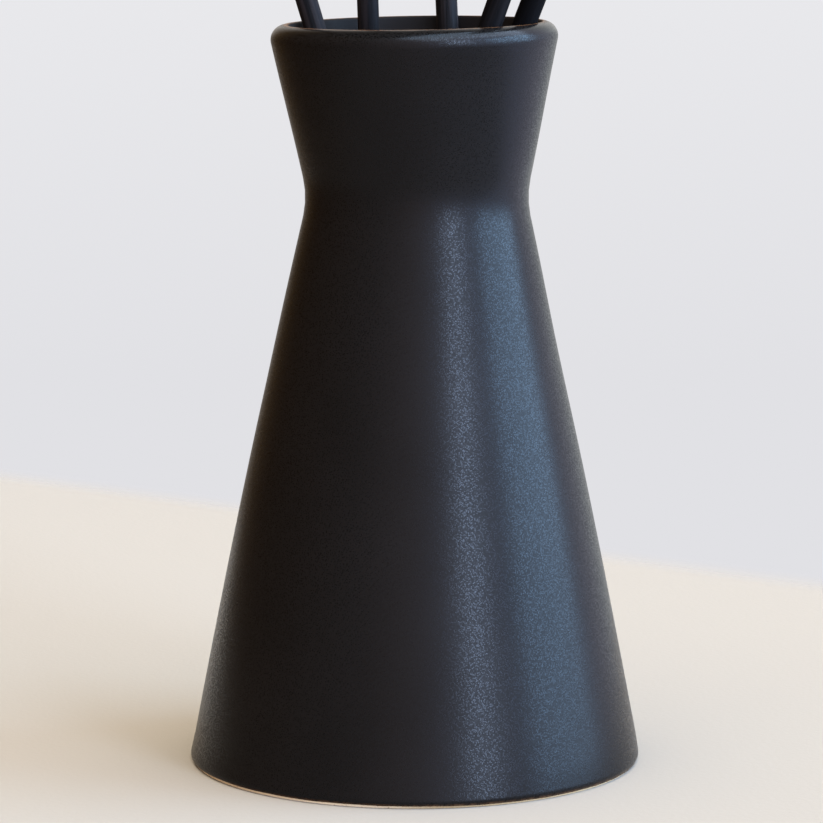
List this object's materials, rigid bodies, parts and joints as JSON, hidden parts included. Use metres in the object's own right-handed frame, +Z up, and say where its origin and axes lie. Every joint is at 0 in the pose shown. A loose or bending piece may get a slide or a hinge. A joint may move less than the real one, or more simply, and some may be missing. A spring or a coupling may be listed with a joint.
{
  "type": "bud vase",
  "caption": "Cone-shaped ceramic bud vase with a narrow neck, a flared collar and a satin black glaze, holding loose black reeds that lift out.",
  "frame": {"origin": "centre of the vase's foot ring, on the surface that it stands on", "axes": "+Z up along the vase's axis, -Y towards the front, +X to the right seen from the front"},
  "size_m": [0.1126, 0.0918, 0.2555],
  "materials": {
    "glaze": "satin",
    "dyed_reed": "matte"
  },
  "bodies": {
    "vase": {"vase": "glaze"},
    "reed_far_left": {"reed_far_left": "dyed_reed"},
    "reed_left": {"reed_left": "dyed_reed"},
    "reed_middle": {"reed_middle": "dyed_reed"},
    "reed_right": {"reed_right": "dyed_reed"},
    "reed_far_right": {"reed_far_right": "dyed_reed"}
  },
  "joints": [
    {"name": "reed_far_left_lift", "type": "slide", "parent": "vase", "child": "reed_far_left", "axis": [-0.2864, 0.2222, 0.932], "range_m": [0, 0.15]},
    {"name": "reed_left_lift", "type": "slide", "parent": "vase", "child": "reed_left", "axis": [-0.0339, 0.0108, 0.9994], "range_m": [0, 0.15]},
    {"name": "reed_middle_lift", "type": "slide", "parent": "vase", "child": "reed_middle", "axis": [-0.0442, 0.2483, 0.9677], "range_m": [0, 0.15]},
    {"name": "reed_right_lift", "type": "slide", "parent": "vase", "child": "reed_right", "axis": [0.3287, -0.0622, 0.9424], "range_m": [0, 0.15]},
    {"name": "reed_far_right_lift", "type": "slide", "parent": "vase", "child": "reed_far_right", "axis": [0.3479, -0.1349, 0.9278], "range_m": [0, 0.15]}
  ]
}
